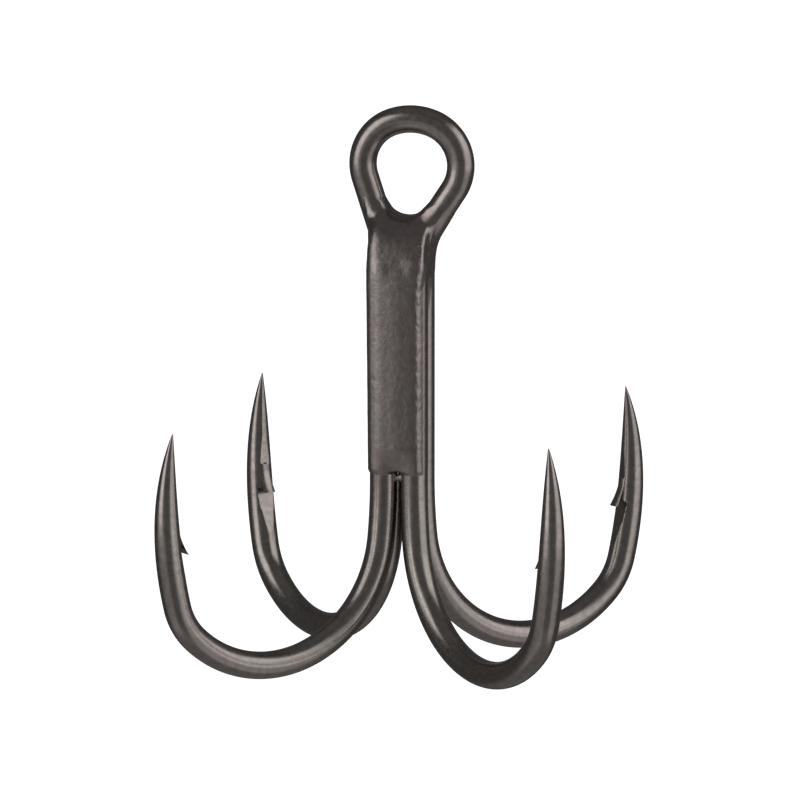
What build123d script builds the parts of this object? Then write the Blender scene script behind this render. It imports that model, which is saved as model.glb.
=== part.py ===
"""Four-point fishing hook: a double hook bent from one wire with its line eye, two single hooks, and the
braze that joins the four shanks into one square bundle.

Millimetres. +Z runs up the shank towards the eye. The origin is on the shank's axis, in the plane that the
four bends stand on. The hooks point along +X, +Y (the double hook), -X and -Y (the singles).
"""

import os
from math import cos, degrees, radians, sin, sqrt

from build123d import *

os.makedirs("parts", exist_ok=True)

# Wire and bundle
WIRE_D = 1.5
WIRE_R = WIRE_D / 2
SHANK_R = 1.2  # shank axis to the centre line of each wire
FACE_R = SHANK_R / sqrt(2)  # shank axis to the line between two neighbouring wires

# Bend, from the shank outwards: (radius, angle) of each tangent arc
FLARE = (30.0, 6.0)
BEND = (7.05, 127.5)
HEEL = (3.75, 32.6)
POINT = (22.0, 24.8)

# Needle point, over the whole of the POINT arc
TIP_R = 0.03
POINT_STEPS = 6

# Barb: a spur cut up from the wire on the side facing the shank
BARB_FROM_TIP = 6.75
BARB_RISE = 0.4  # how far the spur's end stands off the wire
BARB_LENGTH = 0.85
BARB_WIDTH = 0.5
CUT_DEPTH = 0.22  # depth of the cut under the spur
CUT_TUCK = 0.28  # how far the cut reaches up behind the spur's end
CUT_LENGTH = 2.2
CUT_RUN_OUT = 0.04  # clearance past the surface where a cut runs out

# Line eye, in the plane through the double hook's two shanks
EYE_TOP_Z = 29.78  # centre line at the top of the loop
EYE_SHIFT = 0.34  # the loop sits off the bundle, towards the +X hook's shank
CROWN = (3.2, 20.9)  # radius and half angle over the top
SHOULDER_R = 2.44
SHOULDER_RIGHT = 102.4  # angle of the arc down to the +X shank
SHOULDER_LEFT = 87.1  # angle of the arc down to the +Y shank
NECK_RIGHT_R = 3.2
NECK_LEFT_R = 5.4

# Single hooks' upper ends
SINGLE_TOP_Z = 23.8
END_BEVEL = 0.45

# Braze round the shanks
BRAZE_BOTTOM_Z = 10.5
BRAZE_TOP_Z = 23.2
FRONT_COVER_LOW = 0.05  # thickness of the braze over the front wires at its lower end
FRONT_COVER_HIGH = 0.22  # and at its upper end
FRONT_CROWN = 0.1  # how far the front face swells between the two wires
COVER_ANGLE = 58.0  # how far round each front wire the cover reaches, from the face's normal
GROOVE_MIDDLE = 0.41  # height of the braze in the other three grooves, above the line between the wires
GROOVE_EDGE = 0.55

# Braze under the eye's hole
THROAT_Z = 24.58  # lowest point of the hole
THROAT_R = 1.33
THROAT_SHIFT = 0.13
THROAT_TOP_Z = 24.95
THROAT_WIDTH = 6.0  # wider than the arms are apart
THROAT_HALF = 0.6  # half the thickness of the braze between the arms
RAMP_RISE = 1.2  # height the ramp gains from the front face back to the eye's plane

# Directions about +Z, in degrees, of the four hooks
RIGHT_REAR = 0
LEFT_REAR = 90
LEFT_FRONT = 180
RIGHT_FRONT = 270

# And of the four faces of the bundle
BACK = (RIGHT_REAR + LEFT_REAR) / 2
LEFT = (LEFT_REAR + LEFT_FRONT) / 2
FRONT = (LEFT_FRONT + RIGHT_FRONT) / 2
RIGHT = LEFT + 180

flare_sin = sin(radians(FLARE[1]))
SHANK_END_Z = WIRE_R + FLARE[0] * flare_sin + BEND[0] * (1 - flare_sin)


def upright_plane(angle):
    """An upright plane through the shank's axis: its x runs outwards at the angle about +Z, its y up."""
    turn = radians(angle)
    return Plane(origin=(0, 0, 0), x_dir=(cos(turn), sin(turn), 0), z_dir=(sin(turn), -cos(turn), 0))


def bend_line(plane, top_z):
    """Centre lines of one hook from the top of its shank to the foot of its point, and of its point."""
    with BuildLine(plane) as bend:
        last = Line((SHANK_R, top_z), (SHANK_R, SHANK_END_Z))
        for radius, angle in (FLARE, BEND, HEEL):
            last = JernArc(start=last @ 1, tangent=last % 1, radius=radius, arc_size=angle)
    with BuildLine(plane) as point:
        JernArc(start=last @ 1, tangent=last % 1, radius=POINT[0], arc_size=POINT[1])
    return bend.wire(), point.edge()


def point_radius(share):
    """Wire radius along the point: full at its foot, where share is 0, and thinning ever faster to 1."""
    return TIP_R + (WIRE_R - TIP_R) * (1 - share**3)


def barb_share(point):
    """How far along the point's arc the barb stands."""
    return 1 - BARB_FROM_TIP / point.length


def barb_plane(plane, point):
    """A plane in the hook's own plane at the barb: its x faces the shank and its y runs to the tip."""
    share = barb_share(point)
    return Plane(origin=point @ share, x_dir=(point % share).cross(plane.z_dir) * -1, z_dir=plane.z_dir * -1)


def barbed_hook(angle, top_z):
    """One hook from the top of its shank: the bend, the tapered needle point and the barb inside it."""
    plane = upright_plane(angle)
    bend, point = bend_line(plane, top_z)
    with BuildPart() as hook:
        with BuildSketch(Plane(origin=bend @ 0, z_dir=bend % 0)):
            Circle(WIRE_R)
        sweep(path=bend)
        for step in range(POINT_STEPS + 1):
            share = step / POINT_STEPS
            with BuildSketch(Plane(origin=point @ share, z_dir=point % share)):
                Circle(point_radius(share))
        loft()
        surface = point_radius(barb_share(point))
        notch = (surface - CUT_DEPTH, CUT_TUCK)
        spur_end = (surface + BARB_RISE, 0)
        run_out = (surface + CUT_RUN_OUT, -CUT_LENGTH)
        barb = barb_plane(plane, point)
        with BuildSketch(barb):
            Polygon(run_out, notch, spur_end, (surface + BARB_RISE, -CUT_LENGTH), align=None)
        extrude(amount=WIRE_R, both=True, mode=Mode.SUBTRACT)
        with BuildSketch(barb):
            Polygon(notch, spur_end, (surface - CUT_RUN_OUT, BARB_LENGTH), align=None)
        extrude(amount=BARB_WIDTH / 2, both=True)
    return hook.part


def single_hook(angle):
    """One single hook: a barbed hook whose shank ends in a bevel."""
    with BuildPart() as hook:
        add(barbed_hook(angle, SINGLE_TOP_Z))
        chamfer(hook.faces().sort_by(Axis.Z)[-1].edges(), END_BEVEL)
    return hook


def eye_half(side, shoulder, neck_r):
    """Half of the eye's centre line, from the crown's middle down to a shank; side is 1 for the +X shank."""
    lean = radians(CROWN[1] + shoulder - 90)  # slope of the straight arm from upright
    across = FACE_R - side * EYE_SHIFT
    reach = CROWN[0] * sin(radians(CROWN[1]))
    reach += SHOULDER_R * (cos(lean) - sin(radians(CROWN[1])))
    reach -= neck_r * (1 - cos(lean))
    arm = (reach - across) / sin(lean)
    with BuildLine(eye_plane) as half:
        turn = -side
        top = (EYE_SHIFT, EYE_TOP_Z)
        crown = JernArc(start=top, tangent=(side, 0), radius=CROWN[0], arc_size=turn * CROWN[1])
        bow = JernArc(start=crown @ 1, tangent=crown % 1, radius=SHOULDER_R, arc_size=turn * shoulder)
        straight = Line(bow @ 1, bow @ 1 + (bow % 1) * arm)
        JernArc(start=straight @ 1, tangent=straight % 1, radius=neck_r, arc_size=-turn * degrees(lean))
    return half.wire()


# The eye's plane: x runs from the +Y shank to the +X shank, and y is up
eye_plane = Plane(origin=(FACE_R / sqrt(2), FACE_R / sqrt(2), 0), x_dir=(1, -1, 0), z_dir=(-1, -1, 0))

# Double hook: one wire, from the +X point over the eye to the +Y point
eye_right = eye_half(1, SHOULDER_RIGHT, NECK_RIGHT_R)
eye_left = eye_half(-1, SHOULDER_LEFT, NECK_LEFT_R)
with BuildPart() as double_hook:
    for eye, angle in ((eye_right, RIGHT_REAR), (eye_left, LEFT_REAR)):
        with BuildSketch(Plane(origin=eye @ 0, z_dir=eye % 0)):
            Circle(WIRE_R)
        sweep(path=eye)
        add(barbed_hook(angle, (eye @ 1).Z))

left_single_hook = single_hook(LEFT_FRONT)
right_single_hook = single_hook(RIGHT_FRONT)
wires = [double_hook.part, left_single_hook.part, right_single_hook.part]

# Braze core: the run inside the bundle, out to the middle of the gap between each two wires
core_height = BRAZE_TOP_Z - BRAZE_BOTTOM_Z
with BuildPart() as braze_core:
    with BuildSketch(Plane.XY.offset(BRAZE_BOTTOM_Z)):
        Rectangle(2 * FACE_R, 2 * FACE_R, rotation=45)
    extrude(amount=core_height)
    add(wires, mode=Mode.SUBTRACT)


def face_plane(angle, height):
    """A level plane whose y faces out of one side of the bundle."""
    turn = radians(angle)
    return Plane(origin=(0, 0, height), x_dir=(sin(turn), -cos(turn), 0), z_dir=(0, 0, 1))


# Front braze: slightly swollen over the groove between the single hooks and wrapped round both of them
with BuildPart() as front_braze:
    for height, cover in ((BRAZE_BOTTOM_Z, FRONT_COVER_LOW), (BRAZE_TOP_Z, FRONT_COVER_HIGH)):
        with BuildSketch(face_plane(FRONT, height)):
            front_y = FACE_R + WIRE_R + cover
            with BuildLine():
                ThreePointArc((-FACE_R, front_y), (0, front_y + FRONT_CROWN), (FACE_R, front_y))
                right = CenterArc((FACE_R, FACE_R), WIRE_R + cover, 90, -COVER_ANGLE)
                left = CenterArc((-FACE_R, FACE_R), WIRE_R + cover, 90, COVER_ANGLE)
                Polyline(right @ 1, (FACE_R, FACE_R), (-FACE_R, FACE_R), left @ 1)
            make_face()
    loft()
    add(wires, mode=Mode.SUBTRACT)


def groove_braze(angle):
    """The braze in one of the part-filled grooves, with a hollow outer surface."""
    with BuildPart() as run:
        with BuildSketch(face_plane(angle, BRAZE_BOTTOM_Z)):
            with BuildLine():
                edge = FACE_R + GROOVE_EDGE
                hollow = ThreePointArc((-FACE_R, edge), (0, FACE_R + GROOVE_MIDDLE), (FACE_R, edge))
                Polyline(hollow @ 1, (FACE_R, FACE_R), (-FACE_R, FACE_R), hollow @ 0)
            make_face()
        extrude(amount=core_height)
        add(wires, mode=Mode.SUBTRACT)
    return run


left_braze = groove_braze(LEFT)
right_braze = groove_braze(RIGHT)
back_braze = groove_braze(BACK)

# Eye braze: fills the throat between the eye's arms, up to the rounded foot of its hole, and ramps down in
# front of it onto the upper ends of the single hooks
with BuildPart() as eye_braze:
    with BuildSketch(eye_plane):
        with BuildLine():
            add([eye_right, eye_left])
            Line(eye_right @ 1, eye_left @ 1)
        make_face()
        with Locations((0, (BRAZE_TOP_Z + THROAT_TOP_Z) / 2)):
            Rectangle(THROAT_WIDTH, THROAT_TOP_Z - BRAZE_TOP_Z, mode=Mode.INTERSECT)
        with Locations((THROAT_SHIFT, THROAT_Z + THROAT_R)):
            Circle(THROAT_R, mode=Mode.SUBTRACT)
    extrude(amount=THROAT_HALF, both=True)
    with BuildSketch(upright_plane(BACK)):
        front_foot = (-FACE_R - WIRE_R, BRAZE_TOP_Z)
        Polygon(front_foot, (FACE_R, BRAZE_TOP_Z), (FACE_R, BRAZE_TOP_Z + RAMP_RISE), align=None)
    extrude(amount=FACE_R, both=True)
    add(wires, mode=Mode.SUBTRACT)

pieces = {
    "double_hook": double_hook,
    "left_single_hook": left_single_hook,
    "right_single_hook": right_single_hook,
    "braze_core": braze_core,
    "front_braze": front_braze,
    "left_braze": left_braze,
    "right_braze": right_braze,
    "back_braze": back_braze,
    "eye_braze": eye_braze,
}
for name, piece in pieces.items():
    piece.part.label = name
    export_step(piece.part, f"parts/{name}.step")
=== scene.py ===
"""Looks for the four-point fishing hook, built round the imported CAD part.

Blender works in metres, in the CAD part's frame. Shapes are worked out in millimetres and scaled when
each mesh is made. In the bundle, u runs across the eye from the +Y shank to the +X shank and w runs from
the front braze to the back.
"""

import math

import bpy
import numpy as np
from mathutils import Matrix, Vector, noise


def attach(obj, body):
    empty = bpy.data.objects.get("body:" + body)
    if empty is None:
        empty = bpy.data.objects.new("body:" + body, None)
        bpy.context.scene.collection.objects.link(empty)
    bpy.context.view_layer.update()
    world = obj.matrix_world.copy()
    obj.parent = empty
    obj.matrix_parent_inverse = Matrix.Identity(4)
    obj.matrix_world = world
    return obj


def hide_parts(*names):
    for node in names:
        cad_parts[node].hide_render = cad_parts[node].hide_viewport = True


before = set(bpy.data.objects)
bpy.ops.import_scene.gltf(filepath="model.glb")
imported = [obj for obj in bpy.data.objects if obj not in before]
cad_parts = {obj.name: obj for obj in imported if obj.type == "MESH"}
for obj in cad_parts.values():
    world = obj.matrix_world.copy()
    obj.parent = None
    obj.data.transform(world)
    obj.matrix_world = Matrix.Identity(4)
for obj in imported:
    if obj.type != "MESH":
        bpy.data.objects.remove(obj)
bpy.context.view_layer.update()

MM = 0.001
UP = np.array((0.0, 0.0, 1.0))

# Wire, bundle and bend, as in the CAD part. Each stretch of the bend is a radius and a turn in degrees
WIRE_R = 0.75
SHANK_R = 1.2
FACE_R = SHANK_R / math.sqrt(2)
FLARE, BEND, HEEL, POINT = (30.0, 6.0), (7.05, 127.5), (3.75, 32.6), (22.0, 24.8)
TIP_R = 0.03
POINT_LENGTH = POINT[0] * math.radians(POINT[1])
FLARE_SLOPE = math.sin(math.radians(FLARE[1]))
SHANK_END_Z = WIRE_R + FLARE[0] * FLARE_SLOPE + BEND[0] * (1 - FLARE_SLOPE)

# The single hooks end here inside the braze, lower than in the CAD part, so that their flat ends don't show
SINGLE_TOP_Z = 21.8

# Line eye: its crown is a radius and half its turn, and each side, 1 or -1, has a shoulder and a neck
EYE_TOP_Z, EYE_SHIFT = 29.78, 0.34
CROWN, SHOULDER_R = (3.2, 20.9), 2.44
SHOULDERS = {1: 102.4, -1: 87.1}
NECKS = {1: 3.2, -1: 5.4}

# Barb, by distance from the tip. The spur's half width and thickness are given at its root and at its end
PRESS_START, PRESS_DEPTH = 3.4, 0.07
SPUR_ROOT, SPUR_END = 5.1, 6.75
SPUR_SINK, SPUR_RISE, SPUR_CURL = 0.03, 0.43, 1.8
SPUR_HALF, SPUR_THICK = (0.2, 0.36), (0.35, 0.09)
SPUR_EDGE = 0.05
SPUR_ROWS, SPUR_COLUMNS = 16, 9
NOTCH_START, NOTCH_DEPTH = SPUR_END - 0.28, 0.22
CUT_END = 9.5
CUT_STEP_AT, CUT_STEP = 7.75, 0.03
UNCUT = 9.0

# Mesh fineness: sides of a wire, steps along it and the angle at which shading breaks
AROUND = 96
STEP_BEND, STEP_POINT, STEP_SHANK = 0.13, 0.08, 3.0
SHARP_ANGLE = 32


# ---------------------------------------------------------------- centre lines


def trace(start, angle, moves):
    """Follows lines and arcs in a plane. Each move is (length, 0, step) for a line or (radius, turn, step)
    for an arc, whose turn in degrees is positive to the left. Returns the points and the headings there."""
    points, angles = [np.array(start, float)], [math.radians(angle)]
    for size, turn, step in moves:
        here, heading = points[-1], angles[-1]
        length = size if turn == 0 else size * math.radians(abs(turn))
        count = max(1, round(length / step))
        for i in range(1, count + 1):
            if turn == 0:
                direction = np.array((math.cos(heading), math.sin(heading)))
                points.append(here + direction * length * i / count)
                angles.append(heading)
                continue
            side = math.copysign(1, turn)
            new = heading + math.radians(turn) * i / count
            centre = here + side * size * np.array((-math.sin(heading), math.cos(heading)))
            points.append(centre - side * size * np.array((-math.sin(new), math.cos(new))))
            angles.append(new)
    return np.array(points), np.array(angles)


def lift(points, angles, origin, across):
    """Stands a plane's curve up in space: its x runs along across and its y is up. Returns the points, the
    directions and the directions to the left of the curve."""
    place = np.array(origin) + points[:, :1] * across + points[:, 1:] * UP
    ahead = np.cos(angles)[:, None] * across + np.sin(angles)[:, None] * UP
    left = -np.sin(angles)[:, None] * across + np.cos(angles)[:, None] * UP
    return place, ahead, left


def hook_line(angle, top_z):
    """Centre line of the hook at that angle about +Z, from its shank's top at top_z to its tip."""
    moves = [(top_z - SHANK_END_Z, 0, STEP_SHANK)]
    moves += [(radius, turn, STEP_BEND) for radius, turn in (FLARE, BEND, HEEL)]
    moves.append((POINT[0], POINT[1], STEP_POINT))
    out = np.array((math.cos(math.radians(angle)), math.sin(math.radians(angle)), 0.0))
    return lift(*trace((SHANK_R, top_z), -90, moves), (0, 0, 0), out)


U_AXIS = np.array((1.0, -1.0, 0.0)) / math.sqrt(2)
W_AXIS = np.array((1.0, 1.0, 0.0)) / math.sqrt(2)


def eye_line(side):
    """Centre line of the half of the eye that ends on the +X shank, side 1, or the +Y shank, side -1."""
    lean = CROWN[1] + SHOULDERS[side] - 90
    slope = math.radians(lean)
    crown = math.sin(math.radians(CROWN[1]))
    reach = CROWN[0] * crown + SHOULDER_R * (math.cos(slope) - crown) - NECKS[side] * (1 - math.cos(slope))
    arm = (reach - (FACE_R - side * EYE_SHIFT)) / math.sin(slope)
    moves = [
        (CROWN[0], -side * CROWN[1], STEP_BEND),
        (SHOULDER_R, -side * SHOULDERS[side], STEP_BEND),
        (arm, 0, STEP_BEND),
        (NECKS[side], side * lean, STEP_BEND),
    ]
    start = (EYE_SHIFT, EYE_TOP_Z)
    return lift(*trace(start, 0 if side > 0 else 180, moves), FACE_R * W_AXIS, U_AXIS)


def joined(first, second):
    """Two lines in space end to end, without the doubled point."""
    return tuple(np.concatenate((a, b[1:])) for a, b in zip(first, second))


def reversed_line(line):
    """The same line walked the other way."""
    place, ahead, left = line
    return place[::-1], -ahead[::-1], -left[::-1]


# ---------------------------------------------------------------- wire meshes


def along(place):
    """Distance along a line at each of its points."""
    return np.concatenate(((0.0,), np.cumsum(np.linalg.norm(np.diff(place, axis=0), axis=1))))


def point_radius(from_tip):
    """Radius of the wire at distances from its tip, which swells like an ogive."""
    share = np.clip(1 - np.asarray(from_tip, float) / POINT_LENGTH, 0, 1)
    return TIP_R + (WIRE_R - TIP_R) * (1 - share**3)


def cut_height(from_tip, radius):
    """How far the wire reaches on its inner side: less than its radius where the barb is pressed and cut."""
    height = np.full_like(radius, UNCUT)
    pressed = (from_tip > PRESS_START) & (from_tip < SPUR_ROOT)
    press = PRESS_DEPTH * (from_tip - PRESS_START) / (SPUR_ROOT - PRESS_START)
    height[pressed] = (radius - press)[pressed]
    cut = (from_tip >= NOTCH_START) & (from_tip < CUT_END)
    depth = NOTCH_DEPTH * (CUT_END - from_tip) / (CUT_END - NOTCH_START)
    depth = depth - CUT_STEP * (from_tip > CUT_STEP_AT)
    height[cut] = (radius - depth)[cut]
    return height


def new_mesh(name, vertices, faces):
    """A mesh object in the scene, from vertices in millimetres."""
    mesh = bpy.data.meshes.new(name)
    mesh.from_pydata((np.asarray(vertices) * MM).tolist(), [], faces)
    mesh.validate()
    piece = bpy.data.objects.new(name, mesh)
    bpy.context.scene.collection.objects.link(piece)
    return piece


def tube(name, line, tips):
    """A round wire along a line. tips holds, for each end, whether it is a needle point with a barb."""
    place, ahead, left = line
    length = along(place)
    from_tip = np.full(len(place), np.inf)
    if tips[0]:
        from_tip = np.minimum(from_tip, length)
    if tips[1]:
        from_tip = np.minimum(from_tip, length[-1] - length)
    radius = point_radius(from_tip)
    limit = cut_height(from_tip, radius)
    normal = np.cross(ahead[0], UP)
    normal /= np.linalg.norm(normal)
    turn = np.linspace(0, 2 * math.pi, AROUND, endpoint=False)
    vertices = []
    for i in range(len(place)):
        normal = normal - ahead[i] * (normal @ ahead[i])
        normal /= np.linalg.norm(normal)
        other = np.cross(ahead[i], normal)
        ring = radius[i] * (np.cos(turn)[:, None] * normal + np.sin(turn)[:, None] * other)
        inner = left[i] if from_tip[i] == length[-1] - length[i] else -left[i]
        excess = np.maximum(ring @ inner - limit[i], 0)
        vertices.append(place[i] + ring - excess[:, None] * inner)
    faces = []
    for i in range(len(place) - 1):
        for j in range(AROUND):
            k = (j + 1) % AROUND
            a, b = i * AROUND, (i + 1) * AROUND
            faces.append((a + j, a + k, b + k, b + j))
    faces.append(tuple(range(AROUND))[::-1])
    faces.append(tuple(range((len(place) - 1) * AROUND, len(place) * AROUND)))
    return new_mesh(name, np.concatenate(vertices), faces)


def spur(name, line, at_end):
    """The sliver of the wire's skin that is cut free and bent up as the barb, with a straight end. It
    belongs to the tip at the line's end, or at its start."""
    place, ahead, left = line if at_end else reversed_line(line)
    from_tip = along(place)[-1] - along(place)
    spread = np.linspace(-1, 1, SPUR_COLUMNS)
    vertices, faces = [], []
    for i in range(SPUR_ROWS + 1):
        share = i / SPUR_ROWS
        s = SPUR_ROOT + (SPUR_END - SPUR_ROOT) * share
        k = int(np.argmin(np.abs(from_tip - s)))
        centre = place[k] - ahead[k] * (s - from_tip[k])
        side = np.cross(ahead[k], left[k])
        across = spread * (SPUR_HALF[0] + (SPUR_HALF[1] - SPUR_HALF[0]) * share)
        thick = SPUR_THICK[0] + (SPUR_THICK[1] - SPUR_THICK[0]) * share
        top = np.sqrt(point_radius(s) ** 2 - across**2) - SPUR_SINK + SPUR_RISE * share**SPUR_CURL
        bottom = top - thick * (1 + SPUR_EDGE - spread**2)
        for heights, columns in ((top, range(SPUR_COLUMNS)), (bottom, reversed(range(SPUR_COLUMNS)))):
            for j in columns:
                vertices.append(centre + left[k] * heights[j] + side * across[j])
    ring = 2 * SPUR_COLUMNS
    for i in range(SPUR_ROWS):
        for j in range(ring):
            k = (j + 1) % ring
            a, b = i * ring, (i + 1) * ring
            faces.append((a + j, b + j, b + k, a + k))
    faces.append(tuple(range(ring)))
    faces.append(tuple(range(SPUR_ROWS * ring, (SPUR_ROWS + 1) * ring))[::-1])
    return new_mesh(name, vertices, faces)


def union(piece, additions):
    """Joins other closed meshes onto a piece and removes them."""
    for added in additions:
        modifier = piece.modifiers.new("union", "BOOLEAN")
        modifier.operation = "UNION"
        modifier.solver = "EXACT"
        modifier.object = added
    evaluated = piece.evaluated_get(bpy.context.evaluated_depsgraph_get())
    mesh = bpy.data.meshes.new_from_object(evaluated)
    piece.modifiers.clear()
    piece.data = mesh
    for added in additions:
        bpy.data.objects.remove(added)
    return piece


def shade(piece, sharp_angle):
    """Smooth shading, broken at edges sharper than the angle in degrees."""
    piece.data.shade_smooth()
    piece.data.set_sharp_from_angle(angle=math.radians(sharp_angle))


def finish_piece(piece, nodes):
    """Puts a piece on the one body, in the place of those CAD nodes, which it hides."""
    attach(piece, "root")
    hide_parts(*nodes)


right_half = joined(eye_line(1), hook_line(0, eye_line(1)[0][-1][2]))
left_half = joined(eye_line(-1), hook_line(90, eye_line(-1)[0][-1][2]))
double_line = joined(reversed_line(left_half), right_half)
single_lines = {"left": hook_line(180, SINGLE_TOP_Z), "right": hook_line(270, SINGLE_TOP_Z)}

double_wire = tube("double_hook_wire", double_line, (True, True))
union(double_wire, [spur("spur_a", double_line, True), spur("spur_b", double_line, False)])
shade(double_wire, SHARP_ANGLE)
finish_piece(double_wire, ["double_hook"])

single_wires = {}
for side, line in single_lines.items():
    wire = tube(f"{side}_single_hook_wire", line, (False, True))
    union(wire, [spur("spur", line, True)])
    shade(wire, SHARP_ANGLE)
    finish_piece(wire, [f"{side}_single_hook"])
    single_wires[side] = wire


# ---------------------------------------------------------------- braze skin


def smooth_min(a, b, reach):
    """The lower of two distances, blended over a fillet of that reach."""
    mix = np.maximum(reach - np.abs(a - b), 0) / reach
    return np.minimum(a, b) - mix * mix * reach / 4


def smooth_max(a, b, reach):
    """The higher of two distances, with the edge between them rounded over that reach."""
    return -smooth_min(-a, -b, reach)


def chain_distance(points, chain):
    """Distance from points to a line of straight segments."""
    best = np.full(len(points), np.inf)
    for a, b in zip(chain[:-1], chain[1:]):
        step = b - a
        share = np.clip((points - a) @ step / (step @ step), 0, 1)
        gap = points - a - share[:, None] * step
        best = np.minimum(best, np.einsum("ij,ij->i", gap, gap))
    return np.sqrt(best)


def turned(place):
    """Points in u, w, z from points in x, y, z."""
    return np.stack((place @ U_AXIS, place @ W_AXIS, place[:, 2]), axis=1)


# Heights of the braze, and how far it covers the outer sides of the wires at its foot and at its top
BRAZE_LOW_Z, BRAZE_HIGH_Z = 10.8, 23.25
COVER_LOW, COVER_HIGH = 0.04, 0.2
SOFT, FOOT_ROUND = 0.1, 0.15

# Groove runs: two crossed slabs, one of them wider near the top
GROOVE_FILL, RUN_HALF, RUN_SHIFT, RUN_SPREAD = 1.2, 0.6, 0.1, 0.3
RUNS_HIGH_Z = 22.5

# Front plate: its face is crowned up to the rim, and the crown fades out towards both ends
CROWN_LOW, CROWN_HIGH = 0.05, 0.17
CROWN_FADE_FOOT, CROWN_FADE_TOP = 1.2, 2.5
FRONT_COVER = 0.3
RIM_U, RIM_ROUND, LEFT_ROUND = 1.27, 0.28, 0.8
PLATE_BACK_W = -0.85

# Lid: the slope that carries the front face back to the eye, steeper at first and then level
LID_START_W, LID_RUN, LID_ROUND, LID_BLEND = -1.6, 1.4, 0.9, 1.6
LID_SLOPE, LID_TILT = 0.85, 0.17
LID_FALL = 0.72

# Cap: the braze over the single hooks' tops, wider than the plate on its right side
CAP_LOW_Z = 20.8
CAP_SPREAD, CAP_SPREAD_HEIGHT = 0.2, 1.6

# Throat web: its height limits, and how each arm spreads above the bundle, as (start, height, slope)
WEB_LOW_Z, WEB_HIGH_Z, WEB_TILT = 22.3, 25.1, 0.1
WEB_HALF, WEB_ROUND, WEB_BLEND = 0.45, 0.2, 1.1
ARM_SPREAD = {-1: ((21.36, 1.67, 0.158), (23.03, 3.5, 0.325)), 1: ((22.25, 1.76, 0.3), (24.01, 3.0, 0.657))}
THROAT_CENTRE, THROAT_R, THROAT_ROUND = (0.13, 25.93), 1.4, 0.3

# Stray bead under the plate's lower edge
BEAD, BEAD_R = (0.02, -1.12, 10.42), 0.13

# How the skin runs onto the wires, and the right arm's swelling above the bundle
WIRE_BLEND = 0.3
SINK, SINK_REACH = 0.08, 0.6
NECK_SWELL, NECK_Z, NECK_HEIGHT = 0.1, 23.7, 1.3

# Surface: lumps as (size, layers, height, shift of the noise), and stronger ones along the rim
VOXEL = 0.07
GRID_LOW, GRID_HIGH = np.array((-2.7, -2.2, 9.9)), np.array((2.9, 1.9, 25.7))
GRID_MARGIN, GRID_HALF_U = 1.5, 3.5
LUMPS = ((0.9, 3, 0.007, 0), (0.2, 2, 0.006, 50))
RIM_LUMPS = (0.25, 2, 0.045, 90)
RIM_BAND, RIM_W = 0.16, -1
LUMP_FADE = 0.1
BURIED = -0.04

chains = []
for line in (right_half, left_half):
    place = turned(line[0])
    near = place[(place[:, 2] > GRID_LOW[2] - GRID_MARGIN) & (place[:, 2] < GRID_HIGH[2] + GRID_MARGIN)]
    chains.append(near[np.abs(near[:, 0]) < GRID_HALF_U])
for line in single_lines.values():
    place = turned(line[0])
    chains.append(place[place[:, 2] > GRID_LOW[2] - GRID_MARGIN])


def wire_distance(points):
    """Distance to the surface of the nearest wire."""
    best = np.full(len(points), np.inf)
    for chain in chains:
        best = np.minimum(best, chain_distance(points, chain))
    return best - WIRE_R


def height_share(z):
    """0 at the foot of the braze and 1 at its top."""
    return np.clip((z - BRAZE_LOW_Z) / (BRAZE_HIGH_Z - BRAZE_LOW_Z), 0, 1)


def runs_distance(u, w, z):
    """The braze in the core and the four grooves."""
    spread = RUN_SPREAD * np.clip(height_share(z) * 3 - 2, 0, 1)
    sideways = np.maximum(np.abs(u) - GROOVE_FILL - spread, np.abs(w) - RUN_HALF)
    front_to_back = np.maximum(np.abs(w - RUN_SHIFT) - GROOVE_FILL, np.abs(u) - RUN_HALF)
    return np.maximum(smooth_min(sideways, front_to_back, SOFT), z - RUNS_HIGH_Z)


def plate_distance(u, w, z):
    """The front plate, wrapped round the left single hook, and the cap over both single hooks' tops."""
    cover = COVER_LOW + (COVER_HIGH - COVER_LOW) * height_share(z)
    crown = CROWN_LOW + (CROWN_HIGH - CROWN_LOW) * np.clip((BRAZE_HIGH_Z - z) / CROWN_FADE_TOP, 0, 1)
    crown = crown * np.clip((z - BRAZE_LOW_Z) / CROWN_FADE_FOOT, 0, 1)
    bulge = crown * (1 - np.minimum(np.abs(u) / RIM_U, 1) ** 2)
    front = -w - (FACE_R + WIRE_R + FRONT_COVER * cover) - bulge
    run = smooth_min(w - LID_START_W, LID_RUN, LID_ROUND)
    lid = LID_FALL * (z - BRAZE_HIGH_Z - LID_SLOPE * run + LID_TILT * u)
    left_side = -u - FACE_R - WIRE_R - cover
    faces = smooth_max(smooth_max(front, lid, LID_BLEND), left_side, LEFT_ROUND)
    plate = np.maximum(smooth_max(faces, u - RIM_U, RIM_ROUND), w - PLATE_BACK_W)
    spread = CAP_SPREAD * np.clip((z - CAP_LOW_Z) / CAP_SPREAD_HEIGHT, 0, 1)
    cap = smooth_max(faces, u - RIM_U - spread, RIM_ROUND)
    cap = np.maximum(cap, np.maximum(w - FACE_R, CAP_LOW_Z - z))
    return np.minimum(plate, cap)


def arm_distance(u, z, side):
    """How far outside the centre line of the eye's arm on that side, -1 for the left and 1 for the right."""
    past = side * u - FACE_R
    for start, height, slope in ARM_SPREAD[side]:
        past = past - slope * np.clip(z - start, 0, height)
    return past


def web_distance(u, w, z):
    """The web that closes the throat between the eye's arms."""
    between_arms = np.maximum(arm_distance(u, z, -1), arm_distance(u, z, 1))
    web = np.maximum(np.abs(w - FACE_R) - WEB_HALF, np.maximum(between_arms, WEB_LOW_Z - z))
    return smooth_max(web, z - WEB_HIGH_Z + WEB_TILT * u, WEB_ROUND)


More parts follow.
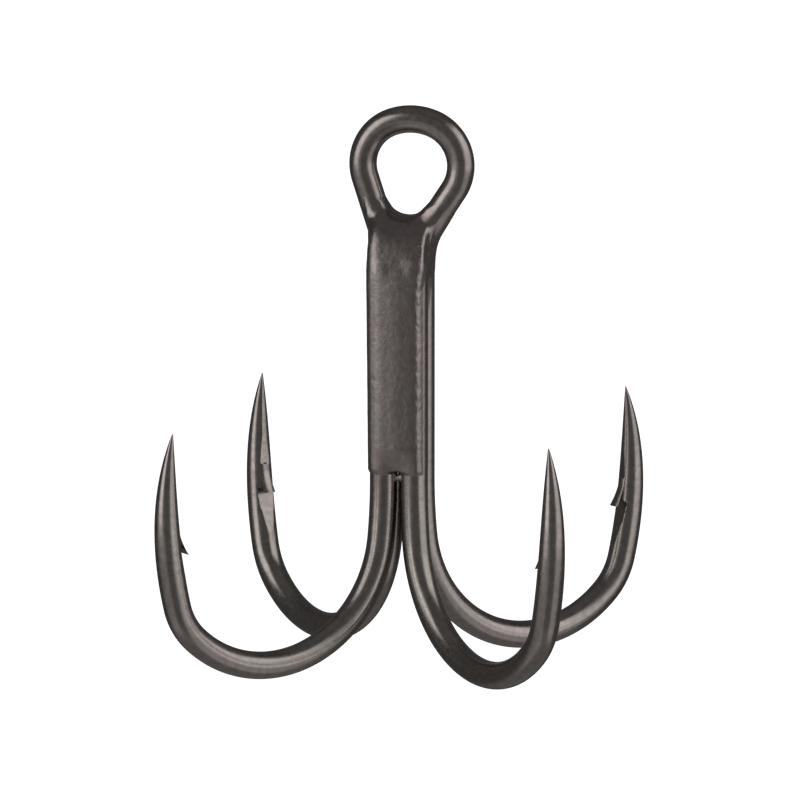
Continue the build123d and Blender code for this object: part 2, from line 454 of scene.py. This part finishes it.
def braze_distance(points):
    """Distance to the surface of the braze, with the throat's round hole cut and the stray bead added."""
    u, w, z = points.T
    body = smooth_min(runs_distance(u, w, z), plate_distance(u, w, z), SOFT)
    body = smooth_max(body, BRAZE_LOW_Z - z, FOOT_ROUND)
    body = smooth_min(body, web_distance(u, w, z), WEB_BLEND)
    hole = THROAT_R - np.hypot(u - THROAT_CENTRE[0], z - THROAT_CENTRE[1])
    bead = np.linalg.norm(points - np.array(BEAD), axis=1) - BEAD_R
    return smooth_min(smooth_max(body, hole, THROAT_ROUND), bead, SOFT)


def skin_distance(points):
    """Distance to the braze blended onto the wires, which draw back inside themselves away from it."""
    braze = braze_distance(points)
    u, z = points[:, 0], points[:, 2]
    sunk = SINK * np.clip(braze, 0, SINK_REACH)
    swell = NECK_SWELL * np.exp(-(((z - NECK_Z) / NECK_HEIGHT) ** 2)) * (u > 0)
    return smooth_min(wire_distance(points) + sunk - swell, braze, WIRE_BLEND)


def surface_net(distance, low, high, voxel):
    """Mesh of the zero surface of a distance function: vertices, and quads that face outwards."""
    counts = np.ceil((high - low) / voxel).astype(int) + 1
    axes = [low[i] + voxel * np.arange(counts[i]) for i in range(3)]
    field = np.empty(counts)
    for k, z in enumerate(axes[2]):
        u, w = np.meshgrid(axes[0], axes[1], indexing="ij")
        layer = np.stack((u.ravel(), w.ravel(), np.full(u.size, z)), axis=1)
        field[:, :, k] = distance(layer).reshape(u.shape)
    inside = field < 0
    cells = counts - 1
    total = np.zeros((*cells, 3))
    hits = np.zeros(cells)
    corners = [np.array((i, j, k)) for i in (0, 1) for j in (0, 1) for k in (0, 1)]

    def corner(values, offset):
        return values[tuple(slice(o, o + c) for o, c in zip(offset, cells))]

    for a in corners:
        for b in corners:
            if (b - a).sum() != 1 or (b - a).min() < 0:
                continue
            value_a, value_b = corner(field, a), corner(field, b)
            crossed = (value_a < 0) != (value_b < 0)
            share = np.where(crossed, value_a / np.where(crossed, value_a - value_b, 1), 0)
            for axis in range(3):
                total[..., axis] += np.where(crossed, a[axis] + share * (b - a)[axis], 0)
            hits += crossed
    active = hits > 0
    index = np.full(cells, -1)
    index[active] = np.arange(active.sum())
    base = np.argwhere(active)
    vertices = low + voxel * (base + total[active] / hits[active][:, None])
    faces = []
    for axis in range(3):
        first, second = [(1, 2), (2, 0), (0, 1)][axis]
        ahead = np.zeros(3, int)
        ahead[axis] = 1
        inner = tuple(slice(1, c) if i != axis else slice(0, c) for i, c in enumerate(cells))
        start = inside[inner]
        end = inside[tuple(slice(s.start + a, s.stop + a) for s, a in zip(inner, ahead))]
        spots = np.argwhere(start != end) + np.array([s.start for s in inner])
        leaving = inside[tuple(spots.T)]
        quad = []
        for back_first, back_second in ((1, 1), (0, 1), (0, 0), (1, 0)):
            cell = spots.copy()
            cell[:, first] -= back_first
            cell[:, second] -= back_second
            quad.append(index[tuple(cell.T)])
        quad = np.stack(quad, axis=1)
        quad[~leaving] = quad[~leaving][:, ::-1]
        faces.append(quad)
    return vertices, np.concatenate(faces)


def settle(vertices, distance):
    """Moves vertices onto the zero surface in a few short steps and returns them with its normals."""
    rounds, probe, longest_step, least_slope = 3, 0.01, 0.05, 0.2
    for _ in range(rounds):
        value = np.clip(distance(vertices), -longest_step, longest_step)
        steps = probe * np.eye(3)
        slope = np.stack([distance(vertices + step) - distance(vertices - step) for step in steps], axis=1)
        slope = slope / (2 * probe)
        size = np.maximum(np.linalg.norm(slope, axis=1), least_slope)
        vertices = vertices - slope * (value / size**2)[:, None]
    return vertices, slope / size[:, None]


def lumps(points, size, layers, height, shift):
    """Smooth noise of about that height, whose largest lumps are about size across."""
    places = (points + shift) * (1 / size)
    return np.array([noise.fractal(Vector(place), 0.9, 2.0, layers) for place in places]) * height


skin_vertices, skin_faces = surface_net(skin_distance, GRID_LOW, GRID_HIGH, VOXEL)
skin_vertices, skin_normals = settle(skin_vertices, skin_distance)
on_braze = np.clip(1 - braze_distance(skin_vertices) / LUMP_FADE, 0, 1)
on_rim = np.exp(-(((skin_vertices[:, 0] - RIM_U) / RIM_BAND) ** 2)) * (skin_vertices[:, 1] < RIM_W)
relief = sum(lumps(skin_vertices, *layer) for layer in LUMPS) + lumps(skin_vertices, *RIM_LUMPS) * on_rim
skin_vertices = skin_vertices + skin_normals * (relief * on_braze)[:, None]

# Faces inside the wires are dropped, with the vertices that only they used
buried = wire_distance(skin_vertices) < BURIED
kept = skin_faces[~buried[skin_faces].all(axis=1)]
used = np.unique(kept)
renumber = np.full(len(skin_vertices), -1)
renumber[used] = np.arange(len(used))
u, w, z = skin_vertices[used].T
skin_place = u[:, None] * U_AXIS + w[:, None] * W_AXIS + z[:, None] * UP
braze = new_mesh("braze_deposit", skin_place, renumber[kept].tolist())
shade(braze, 180)
BRAZE_NODES = ["braze_core", "front_braze", "left_braze", "right_braze", "back_braze", "eye_braze"]
finish_piece(braze, BRAZE_NODES)


# ---------------------------------------------------------------- materials


def add_node(tree, kind, settings=(), inputs=()):
    """Adds a shader node. settings sets its properties and inputs its sockets, by value or by link."""
    node = tree.nodes.new(kind)
    for key, value in dict(settings).items():
        setattr(node, key, value)
    for key, value in dict(inputs).items():
        if isinstance(value, bpy.types.NodeSocket):
            tree.links.new(value, node.inputs[key])
        else:
            node.inputs[key].default_value = value
    return node


def ramp(tree, factor, stops):
    """Colour ramp from a list of (position, value or colour)."""
    node = add_node(tree, "ShaderNodeValToRGB", inputs={"Fac": factor})
    elements = node.color_ramp.elements
    while len(elements) > 1:
        elements.remove(elements[-1])
    for i, (position, value) in enumerate(stops):
        element = elements[0] if i == 0 else elements.new(position)
        element.position = position
        colour = (value, value, value) if isinstance(value, (int, float)) else value
        element.color = (*colour, 1)
    return node.outputs["Color"]


# Sizes of the plating's patterns, heights between which the eye begins, and the cool and warm tints
DRIFT_MM, MOTTLE_MM, GLOSS_MM, FINE_MM, COARSE_MM = 5.0, 0.35, 0.25, 0.07, 0.3
EYE_START_Z = (23.3, 24.3)
WIRE_TINTS = ((0.355, 0.325, 0.295), (0.37, 0.318, 0.305))
BRAZE_TINTS = ((0.34, 0.31, 0.29), (0.36, 0.30, 0.29))
FINE_DEPTH_MM, COARSE_DEPTH_MM = 0.02, 0.03


def plating(name, roughness, grain, tints, top_share):
    """Dark black-nickel plating: a slow drift between two tints and fine grain in its gloss and relief. The
    roughness and relief shrink to top_share of their size where the eye begins."""
    material = bpy.data.materials.new(name)
    material.use_nodes = True
    tree = material.node_tree
    tree.nodes.clear()
    place = add_node(tree, "ShaderNodeTexCoord").outputs["Object"]

    def noise_at(size_mm, detail):
        settings = {"noise_dimensions": "3D"}
        inputs = {"Vector": place, "Scale": 1 / (size_mm * MM), "Detail": detail}
        return add_node(tree, "ShaderNodeTexNoise", settings, inputs).outputs["Fac"]

    def product(a, b):
        return add_node(tree, "ShaderNodeMath", {"operation": "MULTIPLY"}, {0: a, 1: b}).outputs[0]

    def bump(strength, depth_mm, height, **inputs):
        inputs.update({"Strength": strength, "Distance": depth_mm * MM, "Height": height})
        return add_node(tree, "ShaderNodeBump", inputs=inputs).outputs["Normal"]

    height = add_node(tree, "ShaderNodeSeparateXYZ", inputs={0: place}).outputs[2]
    low, high = (z * MM for z in EYE_START_Z)
    limits = {"Value": height, "From Min": low, "From Max": high, "To Min": 1.0, "To Max": top_share}
    share = add_node(tree, "ShaderNodeMapRange", inputs=limits).outputs[0]
    cool, warm = tints
    drift = ramp(tree, noise_at(DRIFT_MM, 2.0), [(0.35, cool), (0.65, warm)])
    mottle = ramp(tree, noise_at(MOTTLE_MM, 3.0), [(0.3, 0.86), (0.7, 1.1)])
    settings = {"data_type": "RGBA", "blend_type": "MULTIPLY"}
    colour = add_node(tree, "ShaderNodeMix", settings, {"Factor": 1.0, 6: drift, 7: mottle}).outputs[2]
    gloss = ramp(tree, noise_at(GLOSS_MM, 3.0), [(0.3, roughness - 0.05), (0.7, roughness + 0.06)])
    relief = product(grain, share)
    fine = bump(relief, FINE_DEPTH_MM, noise_at(FINE_MM, 2.0))
    coarse = bump(relief, COARSE_DEPTH_MM, noise_at(COARSE_MM, 3.0), Normal=fine)
    shader_inputs = {"Base Color": colour, "Metallic": 1.0, "Normal": coarse}
    shader_inputs["Roughness"] = product(gloss, share)
    shader = add_node(tree, "ShaderNodeBsdfPrincipled", inputs=shader_inputs)
    output = add_node(tree, "ShaderNodeOutputMaterial")
    tree.links.new(shader.outputs["BSDF"], output.inputs["Surface"])
    return material


wire_plating = plating("black_nickel_wire", 0.24, 0.05, WIRE_TINTS, 1.0)
braze_plating = plating("black_nickel_braze", 0.34, 0.45, BRAZE_TINTS, 0.7)
for wire in (double_wire, *single_wires.values()):
    wire.data.materials.clear()
    wire.data.materials.append(wire_plating)
braze.data.materials.append(braze_plating)


# ---------------------------------------------------------------- floor, light and camera

AZIMUTH, ELEVATION = math.radians(-32.26), math.radians(9.525)
TOWARD_CAMERA = Vector(
    (
        math.sin(AZIMUTH) * math.cos(ELEVATION),
        -math.cos(AZIMUTH) * math.cos(ELEVATION),
        math.sin(ELEVATION),
    )
)
CAMERA_RIGHT = Vector((math.cos(AZIMUTH), math.sin(AZIMUTH), 0))
CAMERA_DISTANCE, LENS, SENSOR = 0.549, 455.4, 36
AIM_Z, AIM_LEFT = 14.5 * MM, 0.125 * MM
FLOOR_HALF = 2.0


def make_camera():
    data = bpy.data.cameras.new("camera")
    data.sensor_width = SENSOR
    data.lens = LENS
    camera = bpy.data.objects.new("camera", data)
    bpy.context.scene.collection.objects.link(camera)
    camera.location = Vector((0, 0, AIM_Z)) - CAMERA_RIGHT * AIM_LEFT + TOWARD_CAMERA * CAMERA_DISTANCE
    camera.rotation_euler = TOWARD_CAMERA.to_track_quat("Z", "Y").to_euler()
    bpy.context.scene.camera = camera


def make_floor():
    """A plain white floor that glows evenly, takes no shadow and isn't mirrored in the plating."""
    mesh = bpy.data.meshes.new("floor")
    corners = [(x * FLOOR_HALF, y * FLOOR_HALF, 0) for x, y in ((-1, -1), (1, -1), (1, 1), (-1, 1))]
    mesh.from_pydata(corners, [], [(0, 1, 2, 3)])
    floor = bpy.data.objects.new("floor", mesh)
    bpy.context.scene.collection.objects.link(floor)
    floor.visible_glossy = False
    floor.visible_shadow = False
    material = bpy.data.materials.new("floor")
    material.use_nodes = True
    shader = material.node_tree.nodes["Principled BSDF"]
    shader.inputs["Base Color"].default_value = (0.8, 0.8, 0.8, 1)
    shader.inputs["Roughness"].default_value = 0.9
    shader.inputs["Emission Color"].default_value = (1, 1, 1, 1)
    shader.inputs["Emission Strength"].default_value = 1.0
    material.cycles.emission_sampling = "NONE"
    mesh.materials.append(material)


# Light from all round, and panels of light at an azimuth, from the camera towards its right, and an
# elevation. Each span in degrees is (from, to, soft edge before, soft edge after). The strength comes last
AMBIENT = 0.075
PANELS = (
    ((-74, -48, 10, 14), (-2, 38, 10, 14), 1.3),  # left panel
    ((50, 92, 20, 14), (-6, 42, 10, 12), 0.75),  # right panel
    ((58, 96, 14, 12), (18, 42, 12, 12), 0.35),  # its brighter upper part
    ((40, 75, 14, 20), (-46, -8, 12, 8), 0.33),  # right panel's light off the table
    ((-84, -26, 20, 10), (-50, -8, 12, 8), 0.18),  # left panel's light off the table
    ((-40, 40, 40, 40), (-50, 44, 12, 12), 0.055),  # dim front
    ((-180, 180, 1, 1), (-90, -52, 1, 22), 0.11),  # table below
    ((-180, 180, 1, 1), (70, 90, 22, 1), 0.055),  # ceiling
)


def studio_world():
    """Soft studio light in the plating's reflections. The camera itself sees plain white."""
    world = bpy.data.worlds.new("studio")
    bpy.context.scene.world = world
    world.use_nodes = True
    tree = world.node_tree
    tree.nodes.clear()
    direction = add_node(tree, "ShaderNodeTexCoord").outputs["Generated"]
    parts = add_node(tree, "ShaderNodeSeparateXYZ", inputs={0: direction}).outputs
    front = Vector((TOWARD_CAMERA.x, TOWARD_CAMERA.y, 0)).normalized()

    def maths(operation, a, b=0.0):
        return add_node(tree, "ShaderNodeMath", {"operation": operation}, {0: a, 1: b}).outputs[0]

    def part_along(axis):
        return maths("ADD", maths("MULTIPLY", parts[0], axis.x), maths("MULTIPLY", parts[1], axis.y))

    def rise(value, low, high):
        """0 below low and 1 above high, in degrees."""
        inputs = {"Value": value, "From Min": math.radians(low), "From Max": math.radians(high)}
        return add_node(tree, "ShaderNodeMapRange", {"interpolation_type": "SMOOTHSTEP"}, inputs).outputs[0]

    def window(value, low, high, edge_low, edge_high):
        """1 from low to high, with soft edges of those widths in degrees outside."""
        falling = maths("SUBTRACT", 1.0, rise(value, high, high + edge_high))
        return maths("MULTIPLY", rise(value, low - edge_low, low), falling)

    azimuth = maths("ARCTAN2", part_along(CAMERA_RIGHT), part_along(front))
    elevation = maths("ARCSINE", parts[2])
    light = AMBIENT
    for across, upright, strength in PANELS:
        panel = maths("MULTIPLY", window(azimuth, *across), window(elevation, *upright))
        light = maths("ADD", light, maths("MULTIPLY", panel, strength))
    seen = add_node(tree, "ShaderNodeLightPath").outputs["Is Camera Ray"]
    white = (1, 1, 1, 1)
    studio = add_node(tree, "ShaderNodeBackground", inputs={"Color": white, "Strength": light})
    plain = add_node(tree, "ShaderNodeBackground", inputs={"Color": white, "Strength": 1.0})
    both = add_node(tree, "ShaderNodeMixShader", inputs={0: seen, 1: studio.outputs[0], 2: plain.outputs[0]})
    output = add_node(tree, "ShaderNodeOutputWorld")
    tree.links.new(both.outputs[0], output.inputs["Surface"])


make_camera()
make_floor()
studio_world()
bpy.context.scene.view_settings.view_transform = "Standard"
